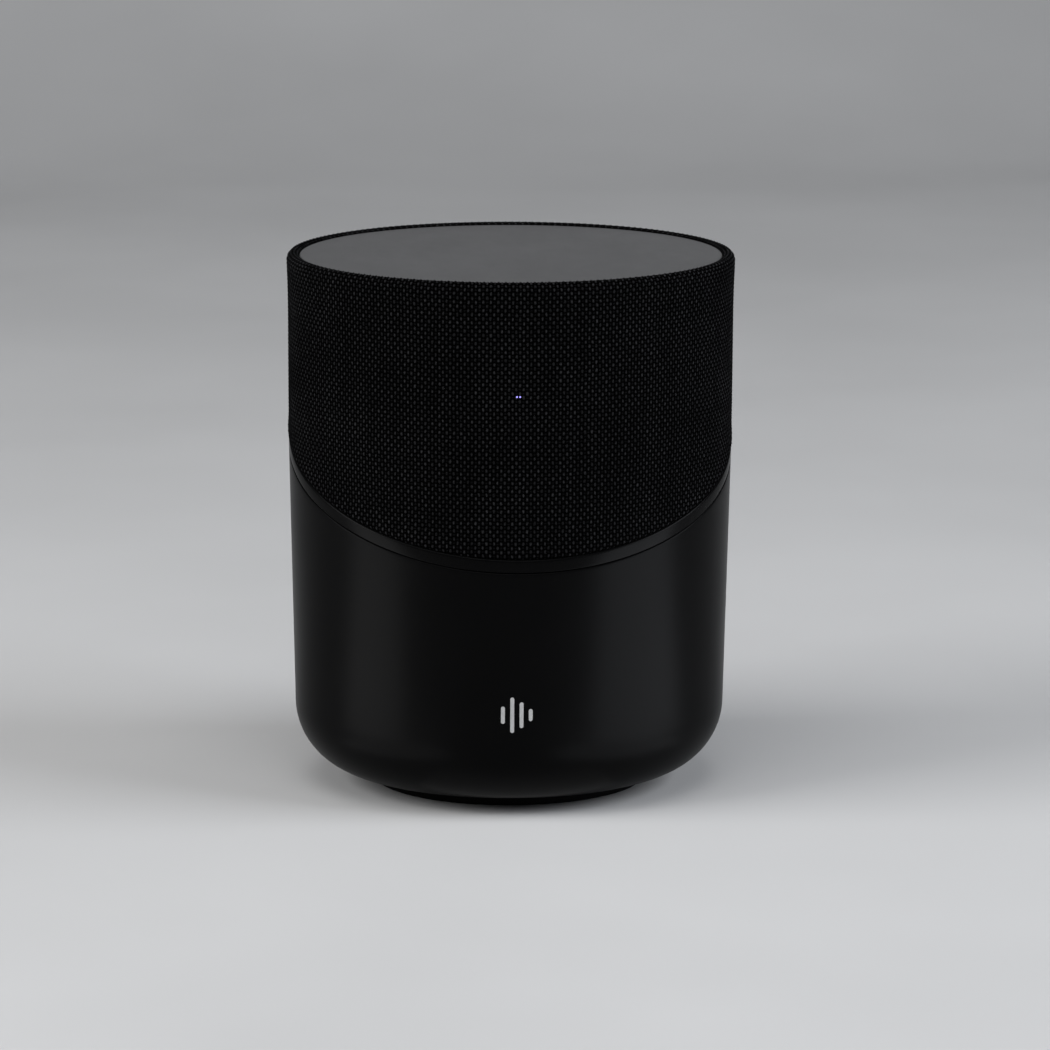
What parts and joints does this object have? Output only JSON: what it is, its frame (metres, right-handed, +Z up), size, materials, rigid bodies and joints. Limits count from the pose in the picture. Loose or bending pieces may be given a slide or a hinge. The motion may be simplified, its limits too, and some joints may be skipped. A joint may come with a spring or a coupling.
{
  "type": "smart speaker",
  "caption": "Oval one-piece wireless smart speaker: cup-shaped satin shell, slanted trim band, fabric drum and flush touch panel on top.",
  "frame": {"origin": "on the surface that the speaker stands on, under the middle of its body", "axes": "+Z up, front (the low side of the slanted split, with the status light) towards -Y, +X to the right seen from the front"},
  "size_m": [0.174, 0.1514, 0.2098],
  "materials": {
    "shell_black": "satin",
    "band_black": "satin",
    "fabric_black": "open weave",
    "panel_grey": "frosted",
    "moulded_black": "matte",
    "rubber_black": "matte",
    "circuit_board": "solder mask",
    "zinc_steel": "zinc plated",
    "black_steel": "black",
    "aluminium": "bare",
    "ferrite": "sintered",
    "cone_paper": "coated",
    "dipped_cloth": "resin dipped",
    "copper": "enamelled",
    "plated_pin": "nickel plated",
    "diffuser": "clear",
    "yellow_tape": "tape",
    "led_lens": "clear lens",
    "wire_black": "insulation"
  },
  "bodies": {
    "housing": {"lower_shell": "shell_black", "trim_band": "band_black", "grille_fabric": "fabric_black", "grille_frame": "moulded_black", "touch_panel": "panel_grey", "panel_gasket": "rubber_black", "light_guide": "diffuser", "touch_board": "circuit_board", "microphone_left": "zinc_steel", "microphone_right": "zinc_steel", "top_plate": "moulded_black", "tweeter_left_faceplate": "moulded_black", "tweeter_left_motor": "black_steel", "tweeter_right_faceplate": "moulded_black", "tweeter_right_motor": "black_steel", "woofer_baffle": "moulded_black", "woofer_basket": "black_steel", "woofer_surround": "rubber_black", "woofer_spider": "dipped_cloth", "woofer_front_washer": "zinc_steel", "woofer_magnet": "ferrite", "woofer_pole_piece": "zinc_steel", "woofer_screw_1": "black_steel", "woofer_screw_2": "black_steel", "woofer_screw_3": "black_steel", "woofer_screw_4": "black_steel", "base_plate": "moulded_black", "base_screw_1": "black_steel", "base_screw_2": "black_steel", "base_screw_3": "black_steel", "base_screw_4": "black_steel", "foot_ring": "rubber_black", "io_panel": "moulded_black", "mains_inlet": "moulded_black", "inlet_pin_left": "plated_pin", "inlet_pin_right": "plated_pin", "ethernet_socket": "moulded_black", "usb_socket": "zinc_steel", "audio_socket": "moulded_black", "main_board": "circuit_board", "amplifier_heatsink": "aluminium", "wifi_module_shield": "zinc_steel", "power_supply_board": "circuit_board", "mains_transformer": "yellow_tape", "bulk_capacitor_1": "aluminium", "bulk_capacitor_2": "aluminium", "antenna_left": "circuit_board", "antenna_right": "circuit_board", "led_board": "circuit_board", "status_led_left": "led_lens", "status_led_right": "led_lens", "woofer_lead": "wire_black", "touch_ribbon_cable": "wire_black"},
    "woofer_moving": {"woofer_cone": "cone_paper", "woofer_dust_cap": "cone_paper", "woofer_voice_coil": "copper"},
    "tweeter_left_moving": {"tweeter_left_dome": "dipped_cloth"},
    "tweeter_right_moving": {"tweeter_right_dome": "dipped_cloth"},
    "setup_button": {"setup_button": "moulded_black"}
  },
  "joints": [
    {"name": "woofer_excursion", "type": "slide", "parent": "housing", "child": "woofer_moving", "axis": [0, -0.421, 0.907], "range_m": [-0.004, 0.004], "stiffness_N_per_m": 1000, "deforming": ["woofer_surround", "woofer_spider"]},
    {"name": "tweeter_left_excursion", "type": "slide", "parent": "housing", "child": "tweeter_left_moving", "axis": [-0.5, -0.866, 0], "range_m": [-0.0003, 0.0003], "stiffness_N_per_m": 300},
    {"name": "tweeter_right_excursion", "type": "slide", "parent": "housing", "child": "tweeter_right_moving", "axis": [0.5, -0.866, 0], "range_m": [-0.0003, 0.0003], "stiffness_N_per_m": 300},
    {"name": "setup_button_press", "type": "slide", "parent": "housing", "child": "setup_button", "axis": [0, -1, 0], "range_m": [0, 0.0006], "stiffness_N_per_m": 400, "springref_m": -0.001}
  ]
}
